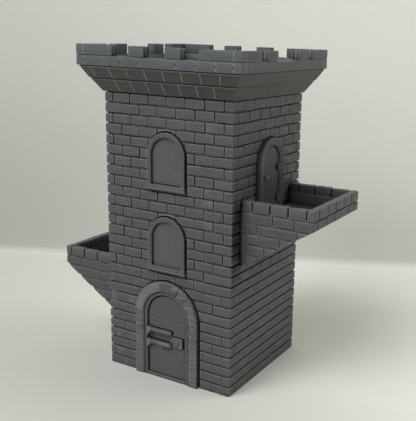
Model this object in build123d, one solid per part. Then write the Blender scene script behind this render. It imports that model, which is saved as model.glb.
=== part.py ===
from build123d import *
import math
import os

# Castle dice tower.  Millimetres, +Z up.  The origin is the centre of the shaft's
# footprint on the table.  -Y is the front (main door), +X the right side (balcony
# door and upper tray), -X the left side (lower tray).
# _R is a radius, _ZC the level of an arch centre, _PROUD how far a part stands out.

os.makedirs("parts", exist_ok=True)

OVERCUT = 1.0            # how far a cutter runs past the solid it cuts

# shaft
SHAFT_W = 100.0          # along X
SHAFT_D = 93.0           # along Y
SHAFT_H = 194.3
COURSE = 6.94            # height of one brick course
WALL = 5.0
BASE_T = 3.0
OUT_X, OUT_Y = SHAFT_W / 2, SHAFT_D / 2      # half sizes outside
IN_X, IN_Y = OUT_X - WALL, OUT_Y - WALL      # half sizes inside
FRONT = -OUT_Y           # Y of the front face
SIDE = -OUT_X            # Y of the right face while its parts are modelled facing -Y

# inside
RAMP_T = 3.0
BAFFLE_RUN, BAFFLE_DROP = 52.0, 30.0
# name: (level at the wall it hangs from, 1 for the front wall or -1 for the back)
BAFFLES = {"upper": (181.0, 1), "middle": (143.0, -1), "lower": (105.0, 1)}
EXIT_BACK, EXIT_FRONT = 38.0, 5.0            # ramp levels at the two walls
CHEEK_TOP = 40.0
CHEEK_BACK_Y = -2.0
CHEEK_SETBACK = 0.8      # from the edge of the door opening

# main door
DOOR_ZC = 45.4           # shared by every arc of the door
STONE_R, FRAME_R, DOOR_R = 25.5, 18.0, 15.7  # surround, frame strip, opening
STONE_PROUD, FRAME_PROUD = 2.5, 1.5
LEAF_R = DOOR_R - 0.8
LEAF_T = 3.0
LEAF_BOTTOM = 2.7
THRESHOLD_H = 2.3

# hinges of the main door
STRAP_Z = {"lower": 23.8, "upper": 32.8}     # undersides
STRAP_H = 3.5
STRAP_PROUD = 3.5
STRAP_END = 5.0          # X of the rounded tip
HINGE_X, HINGE_Y = -14.05, FRONT - 1.9
EYE_R, PIN_R = 1.6, 0.70
PIN_LEN, PIN_HOLE = 2.5, 2.7
LUG_H = 1.2
RUN = 0.05               # running clearance of every hinge

# lock
LOCK_X, LOCK_Z = (5.2, 14.2), (24.9, 32.9)
LOCK_PROUD = 1.5
BOSS_HALF = 1.4
BOSS_T = 0.7
BOSS_DX, BOSS_DZ = -0.6, 0.4                 # from the middle of the plate

# windows
WIN_Z = {"lower": 77.0, "upper": 132.6}      # undersides of the sills
WIN_R_OUT, WIN_R_IN = 14.8, 11.6
WIN_H = 38.5             # sill underside to the top of the arch
WIN_SILL_H = 4.3
WIN_SILL_HALF = 15.7
WIN_PROUD, WIN_SILL_PROUD, SHUTTER_PROUD = 1.5, 2.5, 0.2
WIN_RECESS = 1.0
SHUTTER_GAP = 0.3

# balcony door, modelled facing -Y and turned to the right face
BAL_R_OUT, BAL_R = 16.0, 10.6                # surround, opening
BAL_LEAF_R = BAL_R - 0.7
BAL_ZC = 151.5
BAL_BOTTOM = 118.0
BAL_PROUD = 3.0
BAL_LEAF_PROUD = 1.4
BAL_LEAF_DEPTH = 1.8     # of the leaf inside the wall face
BAL_LEAF_RAISE = 0.5
BAL_HINGE_X, BAL_HINGE_Y = 9.2, SIDE - 2.0
BAL_EYE_R, BAL_PIN_R = 1.3, 0.60
BAL_PIN_LEN = 2.3
BAL_LUG_H = 1.0
BAL_LUG_ROOM_R, BAL_LUG_ROOM_H = 1.8, 1.3
KNUCKLE_Z = {"lower": 125.0, "upper": 146.0}
KNUCKLE_H = 3.2
KNUCKLE_CAP = 0.6        # solid top of a knuckle
HANDLE_Z = (141.0, 142.4)
HANDLE_X = (-9.0, -4.4)
HANDLE_POSTS_X = [(-8.2, -7.0), (-6.2, -5.0)]
HANDLE_OUT, HANDLE_BACK, POST_OUT = 3.0, 2.1, 2.4  # distances from the wall face

# trays
TRAY_OUT = 50.6          # projection from the wall
TRAY_HALF = 36.0         # half length along the wall
TRAY_WALL = 5.0
TRAY_RIM = {"right": SHAFT_H - 9 * COURSE, "left": SHAFT_H - 17 * COURSE}
TRAY_FLOOR_DROP = 2 * COURSE + 0.05
TRAY_FLOOR_T = 3.0
TRAY_FACE_H = 12.9       # height of the outer wall
TRAY_ROOT_H = 44.0       # height against the shaft
TRAY_SKIN = 3.0          # thickness of the sloping underside
HOLLOW_END_H = 2.0       # height of the hollow at its outer end
TONGUE_L, TONGUE_H = 4.5, 14.0
TONGUE_DROP = 20.0       # rim to the top of the tongue
TONGUE_GAP = 0.1
TONGUES_Y = (-TRAY_HALF, TRAY_HALF - TRAY_WALL)

# crown
# corbel tiers: (overhang at the bottom, overhang at the top)
TIER1, TIER1_TOP = (1.0, 6.6), 203.0
TIER2, TIER2_TOP = (7.0, 11.6), 211.0
BAND_OVERHANG = 12.3
BAND_TOP, MERLON_TOP = 218.0, 224.0
PARAPET_T = 6.0
PAR_X, PAR_Y = OUT_X + BAND_OVERHANG, OUT_Y + BAND_OVERHANG
# from the middle of a side: end of the middle gap, start and end of the next gap
GAPS_X = (8.0, 19.7, 32.9)
GAPS_Y = (14.8, 26.8, 35.8)
COLLAR_GAP = 0.1         # clearance of the locating collar inside the shaft
COLLAR_DROP = 7.0
COLLAR_T = 2.5
COLLAR_X, COLLAR_Y = IN_X - COLLAR_GAP, IN_Y - COLLAR_GAP
ROOF_RISE = 1.2
ROOF_RIM = 1.0           # flat rim round the funnel


# --- shape helpers ---------------------------------------------------------
def box(x0, x1, y0, y1, z0, z1):
    return Pos((x0 + x1) / 2, (y0 + y1) / 2, (z0 + z1) / 2) * Box(x1 - x0, y1 - y0, z1 - z0)


def block(half_x, half_y, z0, z1):
    """A box centred on the Z axis."""
    return box(-half_x, half_x, -half_y, half_y, z0, z1)


def square_tube(half_x, half_y, wall, z0, z1):
    bore = block(half_x - wall, half_y - wall, z0 - OVERCUT, z1 + OVERCUT)
    return block(half_x, half_y, z0, z1) - bore


def frustum(half_low, half_high, z0, z1):
    """A loft between two centred rectangles, given as (half x, half y)."""
    low = Pos(0, 0, z0) * Rectangle(2 * half_low[0], 2 * half_low[1])
    high = Pos(0, 0, z1) * Rectangle(2 * half_high[0], 2 * half_high[1])
    return loft([low.face(), high.face()])


def post(x, y, r, z0, z1):
    """An upright cylinder."""
    return Pos(x, y, (z0 + z1) / 2) * Cylinder(r, z1 - z0)


def outline(points):
    return make_face(Polyline(*points, close=True))


def xz_prism(face, y0, y1):
    """An (x, z) face, extruded from y0 to y1."""
    return Rot(90, 0, 0) * (Pos(0, 0, -y1) * extrude(face, amount=y1 - y0))


def yz_prism(points, x0, x1):
    """A (y, z) outline, extruded from x0 to x1."""
    return Pos(x0, 0, 0) * (Plane.YZ * extrude(outline(points), amount=x1 - x0))


def arch(r, z_bottom, z_centre, y0, y1):
    """A round-headed block that faces -Y."""
    legs = Pos(0, (z_bottom + z_centre) / 2) * Rectangle(2 * r, z_centre - z_bottom)
    return xz_prism(legs + Pos(0, z_centre) * Circle(r), y0, y1)


def arch_frame(r_out, r_in, z_bottom, z_centre, y0, y1):
    opening = arch(r_in, z_bottom - OVERCUT, z_centre, y0 - OVERCUT, y1 + OVERCUT)
    return arch(r_out, z_bottom, z_centre, y0, y1) - opening


def to_right_face(shape):
    """Turns a shape made facing -Y to face +X."""
    return Rot(0, 0, 90) * shape


def to_left(shape):
    return mirror(shape, about=Plane.YZ)


def save(name, shape):
    export_step(shape, "parts/" + name + ".step")


# --- shaft -----------------------------------------------------------------
def tongue(rim, y0, x0, x1, gap=0.0):
    """A tray tongue on the right side, or its slot when gap is given."""
    top = rim - TONGUE_DROP
    return box(x0, x1, y0 - gap, y0 + TRAY_WALL + gap, top - TONGUE_H - gap, top + gap)


def window_levels(z_sill):
    """Top of the sill and centre of the arch."""
    return z_sill + WIN_SILL_H, z_sill + WIN_H - WIN_R_OUT


def tower_shell():
    shell = square_tube(OUT_X, OUT_Y, WALL, 0, SHAFT_H)
    shell -= arch(DOOR_R, -OVERCUT, DOOR_ZC, FRONT - OVERCUT, -IN_Y + OVERCUT)
    shell -= to_right_face(arch(BAL_R, BAL_BOTTOM, BAL_ZC, SIDE - OVERCUT, -IN_X + OVERCUT))
    for z_sill in WIN_Z.values():
        z_bottom, z_centre = window_levels(z_sill)
        shell -= arch(WIN_R_IN, z_bottom, z_centre, FRONT - OVERCUT, FRONT + WIN_RECESS)
    for hand, rim in TRAY_RIM.items():
        for y0 in TONGUES_Y:
            slot = tongue(rim, y0, IN_X - OVERCUT, OUT_X + OVERCUT, TONGUE_GAP)
            shell -= slot if hand == "right" else to_left(slot)
    return shell


save("tower_shell", tower_shell())
save("base_plate", block(IN_X, IN_Y, 0, BASE_T))


# --- baffles that swing the dice from wall to wall, and the exit ramp ------
def baffle(z, direction):
    drop_t = RAMP_T / math.cos(math.atan2(BAFFLE_DROP, BAFFLE_RUN))  # measured vertically
    y_wall = -direction * IN_Y
    y_tip = y_wall + direction * BAFFLE_RUN
    z_tip = z - BAFFLE_DROP
    points = [(y_wall, z), (y_tip, z_tip), (y_tip, z_tip - drop_t), (y_wall, z - drop_t)]
    return yz_prism(points, -IN_X, IN_X)


def exit_ramp():
    slope = (EXIT_BACK - EXIT_FRONT) / (2 * IN_Y)
    drop_t = RAMP_T * math.sqrt(1 + slope * slope)
    # where the underside of the ramp meets the base plate
    y_foot = -IN_Y + (drop_t - (EXIT_FRONT - BASE_T)) / slope
    ramp = yz_prism([
        (-IN_Y, EXIT_FRONT), (IN_Y, EXIT_BACK), (IN_Y, EXIT_BACK - drop_t),
        (y_foot, BASE_T), (-IN_Y, BASE_T),
    ], -IN_X, IN_X)
    # triangular cheeks fill the front corners beside the door
    corner = outline([(IN_X, CHEEK_BACK_Y), (IN_X, -IN_Y), (DOOR_R + CHEEK_SETBACK, -IN_Y)])
    cheek = Pos(0, 0, BASE_T) * extrude(corner, amount=CHEEK_TOP - BASE_T)
    return ramp + cheek + to_left(cheek)


for name, (z, direction) in BAFFLES.items():
    save(name + "_baffle", baffle(z, direction))
save("exit_ramp", exit_ramp())


# --- main door -------------------------------------------------------------
def hinge_strap(z0):
    y_front = FRONT - STRAP_PROUD
    x_nose = STRAP_END - STRAP_H / 2
    bar = box(HINGE_X, x_nose, y_front, FRONT, z0, z0 + STRAP_H)
    nose = Rot(90, 0, 0) * Cylinder(STRAP_H / 2, STRAP_PROUD)
    nose = Pos(x_nose, (y_front + FRONT) / 2, z0 + STRAP_H / 2) * nose
    eye = post(HINGE_X, HINGE_Y, EYE_R, z0, z0 + STRAP_H)
    hole = post(HINGE_X, HINGE_Y, PIN_R + RUN, z0 - OVERCUT, z0 + PIN_HOLE)
    return bar + nose + eye - hole


def pintle(lug_x, lug_y, lug_h, pin_at, pin_r, pin_len, z_top):
    """A lug with an upright pin; z_top is the top of the lug."""
    lug = box(*lug_x, *lug_y, z_top - lug_h, z_top)
    return lug + post(*pin_at, pin_r, z_top - lug_h / 2, z_top + pin_len)


def door_pintle(z0):
    return pintle(lug_x=(-DOOR_R, HINGE_X + 0.85), lug_y=(HINGE_Y - 0.9, HINGE_Y + 1.2),
                  lug_h=LUG_H, pin_at=(HINGE_X, HINGE_Y), pin_r=PIN_R, pin_len=PIN_LEN,
                  z_top=z0 - RUN)


def keyhole_boss():
    x = sum(LOCK_X) / 2 + BOSS_DX
    z = sum(LOCK_Z) / 2 + BOSS_DZ
    y_back = FRONT - LOCK_PROUD
    return box(x - BOSS_HALF, x + BOSS_HALF, y_back - BOSS_T, y_back, z - BOSS_HALF, z + BOSS_HALF)


save("door_stone_surround",
     arch_frame(STONE_R, FRAME_R, 0, DOOR_ZC, FRONT - STONE_PROUD, FRONT))
save("door_frame_strip",
     arch_frame(FRAME_R, DOOR_R, 0, DOOR_ZC, FRONT - FRAME_PROUD, FRONT))
save("door_threshold",
     box(-DOOR_R, DOOR_R, FRONT - FRAME_PROUD, FRONT + WALL, 0, THRESHOLD_H))
save("front_door_leaf", arch(LEAF_R, LEAF_BOTTOM, DOOR_ZC, FRONT, FRONT + LEAF_T))
for name, z0 in STRAP_Z.items():
    save(name + "_hinge_strap", hinge_strap(z0))
    save(name + "_hinge_pintle", door_pintle(z0))
save("lock_plate", box(*LOCK_X, FRONT - LOCK_PROUD, FRONT, *LOCK_Z))
save("keyhole_boss", keyhole_boss())


# --- windows ---------------------------------------------------------------
def shutter(z_sill, x0, x1):
    """The part of the arched pane between x0 and x1."""
    z_bottom, z_centre = window_levels(z_sill)
    pane = arch(WIN_R_IN, z_bottom, z_centre, FRONT - SHUTTER_PROUD, FRONT + WIN_RECESS)
    return pane & box(x0, x1, FRONT - 2, FRONT + 2, z_bottom - 1, z_centre + WIN_R_IN + 1)


for name, z_sill in WIN_Z.items():
    z_bottom, z_centre = window_levels(z_sill)
    x_far, x_near = WIN_R_IN + 1, SHUTTER_GAP / 2
    save(name + "_window_frame",
         arch_frame(WIN_R_OUT, WIN_R_IN, z_bottom, z_centre, FRONT - WIN_PROUD, FRONT))
    save(name + "_window_sill", box(-WIN_SILL_HALF, WIN_SILL_HALF,
                                    FRONT - WIN_SILL_PROUD, FRONT, z_sill, z_bottom))
    save(name + "_window_left_shutter", shutter(z_sill, -x_far, -x_near))
    save(name + "_window_right_shutter", shutter(z_sill, x_near, x_far))


# --- balcony door ----------------------------------------------------------
def balcony_leaf():
    x, y = BAL_HINGE_X, BAL_HINGE_Y
    leaf = arch(BAL_LEAF_R, BAL_BOTTOM + BAL_LEAF_RAISE, BAL_ZC,
                SIDE - BAL_LEAF_PROUD, SIDE + BAL_LEAF_DEPTH)
    for z0 in KNUCKLE_Z.values():
        # room for the pintle's lug, at every angle of the leaf
        z_room = z0 - BAL_LUG_ROOM_H
        leaf -= post(x, y, BAL_LUG_ROOM_R, z_room, z0)
        leaf -= box(x, x + 3, y - 2, y + BAL_LUG_ROOM_R, z_room, z0)
        leaf += post(x, y, BAL_EYE_R, z0, z0 + KNUCKLE_H)
    for z0 in KNUCKLE_Z.values():
        leaf -= post(x, y, BAL_PIN_R + RUN, z0 - OVERCUT, z0 + KNUCKLE_H - KNUCKLE_CAP)
    return leaf


def balcony_pintle(z0):
    return pintle(lug_x=(BAL_HINGE_X - 0.6, BAL_R), lug_y=(BAL_HINGE_Y - 0.8, BAL_HINGE_Y + 0.8),
                  lug_h=BAL_LUG_H, pin_at=(BAL_HINGE_X, BAL_HINGE_Y), pin_r=BAL_PIN_R,
                  pin_len=BAL_PIN_LEN, z_top=z0 - RUN)


def balcony_handle():
    handle = box(*HANDLE_X, SIDE - HANDLE_OUT, SIDE - HANDLE_BACK, *HANDLE_Z)
    for post_x in HANDLE_POSTS_X:
        handle += box(*post_x, SIDE - POST_OUT, SIDE - BAL_LEAF_PROUD, *HANDLE_Z)
    return handle


save("balcony_door_surround", to_right_face(
    arch_frame(BAL_R_OUT, BAL_R, BAL_BOTTOM, BAL_ZC, SIDE - BAL_PROUD, SIDE)))
save("balcony_door_leaf", to_right_face(balcony_leaf()))
for name, z0 in KNUCKLE_Z.items():
    save("balcony_" + name + "_pintle", to_right_face(balcony_pintle(z0)))
save("balcony_door_handle", to_right_face(balcony_handle()))


# --- trays: an open box on a hollow wedge, hung on two tongues -------------
def tray(rim):
    """The tray as it sits on the right side."""
    slope = (TRAY_ROOT_H - TRAY_FACE_H) / TRAY_OUT
    skin_h = TRAY_SKIN * math.sqrt(1 + slope * slope)     # skin measured vertically
    floor = rim - TRAY_FLOOR_DROP

    def wedge(x0, x1, top, raised, half_y):
        """A wedge whose sloping underside is raised above the tray's."""
        z0, z1 = (rim - TRAY_ROOT_H + slope * (x - OUT_X) + raised for x in (x0, x1))
        return xz_prism(outline([(x0, z0), (x1, z1), (x1, top), (x0, top)]), -half_y, half_y)

    in_half = TRAY_HALF - TRAY_WALL
    body = wedge(OUT_X, OUT_X + TRAY_OUT, rim, 0, TRAY_HALF)
    body -= box(OUT_X - OVERCUT, OUT_X + TRAY_OUT - TRAY_WALL, -in_half, in_half,
                floor, rim + OVERCUT)
    # the hollow under the floor, open towards the shaft
    hollow_h = TRAY_ROOT_H - TRAY_FLOOR_DROP - TRAY_FLOOR_T - skin_h
    x_end = OUT_X + (hollow_h - HOLLOW_END_H) / slope
    body -= wedge(OUT_X - OVERCUT, x_end, floor - TRAY_FLOOR_T, skin_h, in_half)
    for y0 in TONGUES_Y:
        body += tongue(rim, y0, OUT_X - TONGUE_L, OUT_X)
    return body


save("right_tray", tray(TRAY_RIM["right"]))
save("left_tray", to_left(tray(TRAY_RIM["left"])))


# --- crown -----------------------------------------------------------------
def corbel_tier(overhangs, z0, z1):
    low, high = ((OUT_X + overhang, OUT_Y + overhang) for overhang in overhangs)
    return frustum(low, high, z0, z1)


def crown_corbel():
    corbel = corbel_tier(TIER1, SHAFT_H, TIER1_TOP) + corbel_tier(TIER2, TIER1_TOP, TIER2_TOP)
    return corbel - block(COLLAR_X, COLLAR_Y, SHAFT_H - OVERCUT, TIER2_TOP + OVERCUT)


def gap_spans(middle, start, end):
    return (-end, -start), (-middle, middle), (start, end)


def crown_parapet():
    parapet = square_tube(PAR_X, PAR_Y, PARAPET_T, TIER2_TOP, MERLON_TOP)
    x_cut, y_cut, z_cut = PAR_X + OVERCUT, PAR_Y + OVERCUT, MERLON_TOP + OVERCUT
    for x0, x1 in gap_spans(*GAPS_X):
        parapet -= box(x0, x1, -y_cut, y_cut, BAND_TOP, z_cut)
    for y0, y1 in gap_spans(*GAPS_Y):
        parapet -= box(-x_cut, x_cut, y0, y1, BAND_TOP, z_cut)
    return parapet


def crown_roof_funnel():
    roof_x, roof_y = PAR_X - PARAPET_T, PAR_Y - PARAPET_T
    top = TIER2_TOP + ROOF_RISE
    funnel = frustum((COLLAR_X - COLLAR_T, COLLAR_Y - COLLAR_T),
                     (roof_x - ROOF_RIM, roof_y - ROOF_RIM), TIER2_TOP, top)
    return block(roof_x, roof_y, TIER2_TOP, top) - funnel


save("crown_corbel", crown_corbel())
save("crown_collar",
     square_tube(COLLAR_X, COLLAR_Y, COLLAR_T, SHAFT_H - COLLAR_DROP, TIER1_TOP))
save("crown_parapet", crown_parapet())
save("crown_roof_funnel", crown_roof_funnel())
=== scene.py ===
# A 3D-printed brick tower with a tray on each side, a corbelled crown with merlons, a door and two
# windows in front, and a balcony door on the right.
# It stands on z = 0 with its axis on Z; the front faces -Y and the right side +X.
# Lengths are millimetres and become metres when a mesh is made. Materials, lights and the camera
# are in metres.
import bpy
import bmesh
import math
import random
from itertools import pairwise
import numpy as np
from mathutils import Matrix, Vector

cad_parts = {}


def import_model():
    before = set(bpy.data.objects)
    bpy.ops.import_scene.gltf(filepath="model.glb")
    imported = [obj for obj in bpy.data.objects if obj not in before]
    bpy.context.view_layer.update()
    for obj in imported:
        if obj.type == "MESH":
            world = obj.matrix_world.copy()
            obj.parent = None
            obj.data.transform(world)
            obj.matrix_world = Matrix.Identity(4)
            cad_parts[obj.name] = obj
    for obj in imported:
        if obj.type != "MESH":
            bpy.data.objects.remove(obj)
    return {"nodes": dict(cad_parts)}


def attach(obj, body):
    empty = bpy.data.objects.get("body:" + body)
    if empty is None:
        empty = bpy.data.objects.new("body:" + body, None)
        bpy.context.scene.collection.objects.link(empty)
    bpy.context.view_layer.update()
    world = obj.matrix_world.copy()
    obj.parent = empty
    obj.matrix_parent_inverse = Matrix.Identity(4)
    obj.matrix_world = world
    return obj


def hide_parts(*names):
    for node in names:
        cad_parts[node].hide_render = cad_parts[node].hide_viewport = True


cad_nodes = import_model()["nodes"]
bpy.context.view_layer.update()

MM = 0.001
HALF_X, HALF_Y = 50.0, 46.5         # half the shaft's width and depth
SHAFT_TOP = 194.3
COURSE = 6.94                       # height of a brick course with its joint
COURSES = 28
RIGHT_RIM = SHAFT_TOP - 9 * COURSE  # rims of the two trays
LEFT_RIM = SHAFT_TOP - 17 * COURSE
BED_JOINT, UPRIGHT_JOINT = 1.05, 0.44
BRICK_ROUND = 0.5                   # rounding of a brick's face
CORNER_ROUND = 0.8                  # rounding of the vertical corners
LAYER = 1.25                        # spacing of the visible print layers

DOOR_SPRING = 45.4                  # height at which each arch springs
BALCONY_SPRING = 151.5
WINDOW_SPRING = 23.7                # above the foot of the window
WINDOW_FEET = {"lower": 77.0, "upper": 132.6}
VOUSSOIR_RADIUS = 22.0              # where lengths along the door arch are measured

FRONT, RIGHT, BACK, LEFT = range(4)
# direction to the right along each face, and direction out of it
FACES = [((1, 0), (0, -1)), ((0, 1), (1, 0)), ((-1, 0), (0, 1)), ((0, -1), (-1, 0))]


# ---------------------------------------------------------------------------
# meshes
# ---------------------------------------------------------------------------
def vertices_mm(mesh):
    coords = np.zeros(len(mesh.vertices) * 3)
    mesh.vertices.foreach_get("co", coords)
    return coords.reshape(-1, 3) / MM if MM == 1 else coords.reshape(-1, 3) * 1000.0


class Shape:
    """Collects closed solids, in millimetres."""

    def __init__(self):
        self.points, self.faces, self.count = [], [], 0

    def add(self, points, faces):
        self.points.append(np.asarray(points, float))
        self.faces.extend([[i + self.count for i in face] for face in faces])
        self.count += len(points)

    def add_placed(self, place, points, faces):
        """Adds (across, up, out) points through a placement."""
        self.add(place(*np.array(points, float).T), faces)

    def add_mesh(self, mesh):
        self.add(vertices_mm(mesh), [list(polygon.vertices) for polygon in mesh.polygons])

    def mirror_x(self):
        self.points = [points * (-1.0, 1.0, 1.0) for points in self.points]
        self.faces = [face[::-1] for face in self.faces]

    def to_mesh(self, name):
        mesh = bpy.data.meshes.new(name)
        mesh.from_pydata((np.concatenate(self.points) * MM).tolist(), [], self.faces)
        mesh.update()
        return mesh


def link(name, data):
    obj = bpy.data.objects.new(name, data)
    bpy.context.scene.collection.objects.link(obj)
    return obj


def fix_normals(mesh):
    bm = bmesh.new()
    bm.from_mesh(mesh)
    bmesh.ops.recalc_face_normals(bm, faces=bm.faces)
    bm.to_mesh(mesh)
    bm.free()


def piece(name, shape, body, material, replaced=None, angle=38.0):
    """Makes the visible object of a Shape or mesh; edges sharper than angle stay crisp."""
    mesh = shape.to_mesh(name) if isinstance(shape, Shape) else shape
    mesh.name = name
    fix_normals(mesh)
    for polygon in mesh.polygons:
        polygon.use_smooth = True
    mesh.set_sharp_from_angle(angle=math.radians(angle))
    mesh.update()
    obj = link(name, mesh)
    mesh.materials.clear()
    mesh.materials.append(material)
    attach(obj, body)
    if replaced:
        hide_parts(replaced)


def subtract(mesh, *cutters):
    """A new mesh: mesh minus every cutter."""
    target = link("cut_target", mesh)
    helpers = [target]
    for cutter in cutters:
        fix_normals(cutter)
        helper = link("cutter", cutter)
        helpers.append(helper)
        modifier = target.modifiers.new("cut", "BOOLEAN")
        modifier.operation = "DIFFERENCE"
        modifier.solver = "EXACT"
        modifier.object = helper
    depsgraph = bpy.context.evaluated_depsgraph_get()
    depsgraph.update()
    result = bpy.data.meshes.new_from_object(target.evaluated_get(depsgraph))
    for helper in helpers:
        bpy.data.objects.remove(helper)
    return result


def trim(mesh, point, normal):
    """Keeps the side the normal points away from, and fills the cut."""
    bm = bmesh.new()
    bm.from_mesh(mesh)
    bmesh.ops.recalc_face_normals(bm, faces=bm.faces)
    cut = bmesh.ops.bisect_plane(bm, geom=bm.verts[:] + bm.edges[:] + bm.faces[:], dist=1e-7,
                                 plane_co=Vector(point) * MM, plane_no=normal, clear_outer=True)
    edges = [item for item in cut["geom_cut"]
             if isinstance(item, bmesh.types.BMEdge) and item.is_valid and item.is_boundary]
    if edges:
        bmesh.ops.holes_fill(bm, edges=edges, sides=0)
    bm.to_mesh(mesh)
    bm.free()


def add_core(shape, node, reshape):
    """Adds a copy of a CAD node's mesh, its vertices moved by reshape(x, y, z)."""
    mesh = cad_nodes[node].data.copy()
    coords = reshape(*vertices_mm(mesh).T) * MM
    mesh.vertices.foreach_set("co", coords.ravel().astype(np.float32))
    mesh.update()
    bm = bmesh.new()
    bm.from_mesh(mesh)
    bmesh.ops.remove_doubles(bm, verts=bm.verts, dist=2e-6)
    bm.to_mesh(mesh)
    bm.free()
    shape.add_mesh(mesh)


# ---------------------------------------------------------------------------
# placements: functions from arrays (across, up, out) to points.
# Across runs to the right on a surface, up runs up it and out stands away from it.
# ---------------------------------------------------------------------------
def face_size(face, half_x=HALF_X, half_y=HALF_Y):
    """(distance of the face from the axis, half width of the face)"""
    return (half_y, half_x) if face in (FRONT, BACK) else (half_x, half_y)


def flat(face, distance):
    tangent, normal = FACES[face]

    def place(across, up, out):
        away = distance + out
        return np.stack([tangent[0] * across + normal[0] * away,
                         tangent[1] * across + normal[1] * away, up], 1)
    return place


def wrapped(face, half_x=HALF_X, half_y=HALF_Y):
    """Wraps round the vertical corner between face and the next one, which is at across = 0."""
    tangent, normal = np.array(FACES[face], float)
    next_tangent, next_normal = np.array(FACES[(face + 1) % 4], float)
    distance, half_width = face_size(face, half_x, half_y)
    edge = normal * distance + tangent * half_width
    radius = CORNER_ROUND
    centre = edge - radius * (tangent + normal)

    def place(across, up, out):
        angle = np.clip((across + radius) / (2 * radius), 0, 1) * (math.pi / 2)
        ray = np.outer(np.cos(angle), normal) + np.outer(np.sin(angle), tangent)
        arc = centre + (radius + out)[:, None] * ray
        before = edge + np.outer(across, tangent) + np.outer(out, normal)
        after = edge + np.outer(across, next_tangent) + np.outer(out, next_normal)
        across = across[:, None]
        flank = np.where(across > radius, after, arc)
        return np.column_stack([np.where(across < -radius, before, flank), up])
    return place


def sloped(face, grow):
    """A face of the shaft pushed out by grow(up)."""
    upright = flat(face, face_size(face)[0])
    return lambda across, up, out: upright(across, up, out + grow(up))


def round_arch(base, spring):
    """Across is arc length at VOUSSOIR_RADIUS clockwise from the crown, up is the radius."""
    def place(across, up, out):
        angle = math.pi / 2 - across / VOUSSOIR_RADIUS
        return base(up * np.cos(angle), spring + up * np.sin(angle), out)
    return place


def from_above(across, up, out):
    """Across runs along x, up along y, out along z."""
    return np.stack([across, up, out], 1)


def from_above_turned(across, up, out):
    """Across runs along y, up along x, out along z."""
    return np.stack([up, across, out], 1)


front_face = flat(FRONT, HALF_Y)
right_face = flat(RIGHT, HALF_X)


# ---------------------------------------------------------------------------
# solids. A span is (left, right, low, high); loops are (inset, out) from back to face.
# ---------------------------------------------------------------------------
def spread(first, last, count):
    """The middles of count equal steps."""
    return [first + (last - first) * (i + 0.5) / count for i in range(count)]


def strip(half, near, far, side):
    """The band from near to far inside an outer face at half, on the side of sign side."""
    return (-half + near, -half + far) if side < 0 else (half - far, half - near)


def ring_faces(rings, size):
    """Quads between consecutive rings of size points."""
    faces = []
    for k in range(rings - 1):
        a, b = k * size, (k + 1) * size
        for i in range(size):
            j = (i + 1) % size
            faces.append([a + i, a + j, b + j, b + i])
    return faces


def outline(span, inset, corner, stations, low_waver, high_waver, shift, squeeze):
    """Rounded rectangle with wavering level edges; shift moves its four edges."""
    left, right, low, high = span
    reach = max(corner, inset + 0.04)
    radius = reach - inset

    def arc(x, y, *degrees):
        return [(x + squeeze * radius * math.cos(math.radians(a)),
                 y + radius * math.sin(math.radians(a))) for a in degrees]
    x0, x1 = left + reach * squeeze + shift[0], right - reach * squeeze + shift[1]
    y0, y1 = low + reach + shift[2], high - reach + shift[3]
    points = arc(x0, y0, 180, 225, 270)
    points += [(x, low + inset + waver + shift[2]) for x, waver in zip(stations, low_waver)]
    points += arc(x1, y0, 270, 315, 360)
    points += arc(x1, y1, 0, 45, 90)
    points += [(x, high - inset + waver + shift[3])
               for x, waver in reversed(list(zip(stations, high_waver)))]
    points += arc(x0, y1, 90, 135, 180)
    return points


def solid(shape, rng, place, span, loops, corner=0.7, stations=None, pitch=4.0, jitter=0.1,
          tilt=0.0, lump=0.0, level=None, squeeze=1.0):
    """A closed pillow or block.

    stations are the points along its level edges, by default about pitch apart. level ("low" or
    "high") keeps that edge from moving outwards. squeeze below 1 makes the upright edges sharper.
    """
    left, right, low, high = span
    width, height = right - left, high - low
    corner = min(corner, 0.45 * width, 0.45 * height)
    if stations is None:
        count = int((width - 2 * corner) / pitch)
        stations = [left + corner + (width - 2 * corner) * (i + 1) / (count + 1)
                    for i in range(count)]
    count = len(stations)
    low_waver = [rng.uniform(-jitter, jitter) * 0.8 for _ in stations]
    high_waver = [rng.uniform(-jitter, jitter) * 0.8 for _ in stations]
    shift = [rng.uniform(-jitter, jitter) for _ in range(4)]
    if level == "low":
        shift[2] = 0.0
        low_waver = [abs(waver) for waver in low_waver]
    elif level == "high":
        shift[3] = 0.0
        high_waver = [-abs(waver) for waver in high_waver]
    tilt_across, tilt_up = rng.uniform(-tilt, tilt), rng.uniform(-tilt, tilt)
    middle_x, middle_y = (left + right) / 2, (low + high) / 2
    size = 12 + 2 * count
    lumps = [rng.uniform(-lump, lump) for _ in range(size)] if lump else [0.0] * size
    points = []
    top = loops[-1][1]
    for inset, out in loops:
        ring = outline(span, inset, corner, stations, low_waver, high_waver, shift, squeeze)
        for (x, y), bump in zip(ring, lumps):
            uneven = 0.0
            if out > top - 0.9:
                uneven = (tilt_across * (x - middle_x) / max(width, 1)
                          + tilt_up * (y - middle_y) / max(height, 1) + bump)
            points.append((x, y, out + uneven))
    faces = ring_faces(len(loops), size)
    # each cap: quads between the level edges, and a six-sided face at each end
    bottom = list(range(2, 4 + count))
    upper = list(range(9 + 2 * count, 7 + count, -1))
    cap = [[bottom[i], bottom[i + 1], upper[i + 1], upper[i]] for i in range(count + 1)]
    cap.append([0, 1, 2, 9 + 2 * count, 10 + 2 * count, 11 + 2 * count])
    cap.append([3 + count + i for i in range(6)])
    faces += [face[::-1] for face in cap]
    last = (len(loops) - 1) * size
    faces += [[last + i for i in face] for face in cap]
    shape.add_placed(place, points, faces)


def pillow_loops(top, back, rounding, dome=0.05, crown=0.9):
    return [(0.0, back), (0.0, top - rounding), (0.29 * rounding, top - 0.29 * rounding),
            (rounding, top), (rounding + crown, top + dome)]


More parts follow.
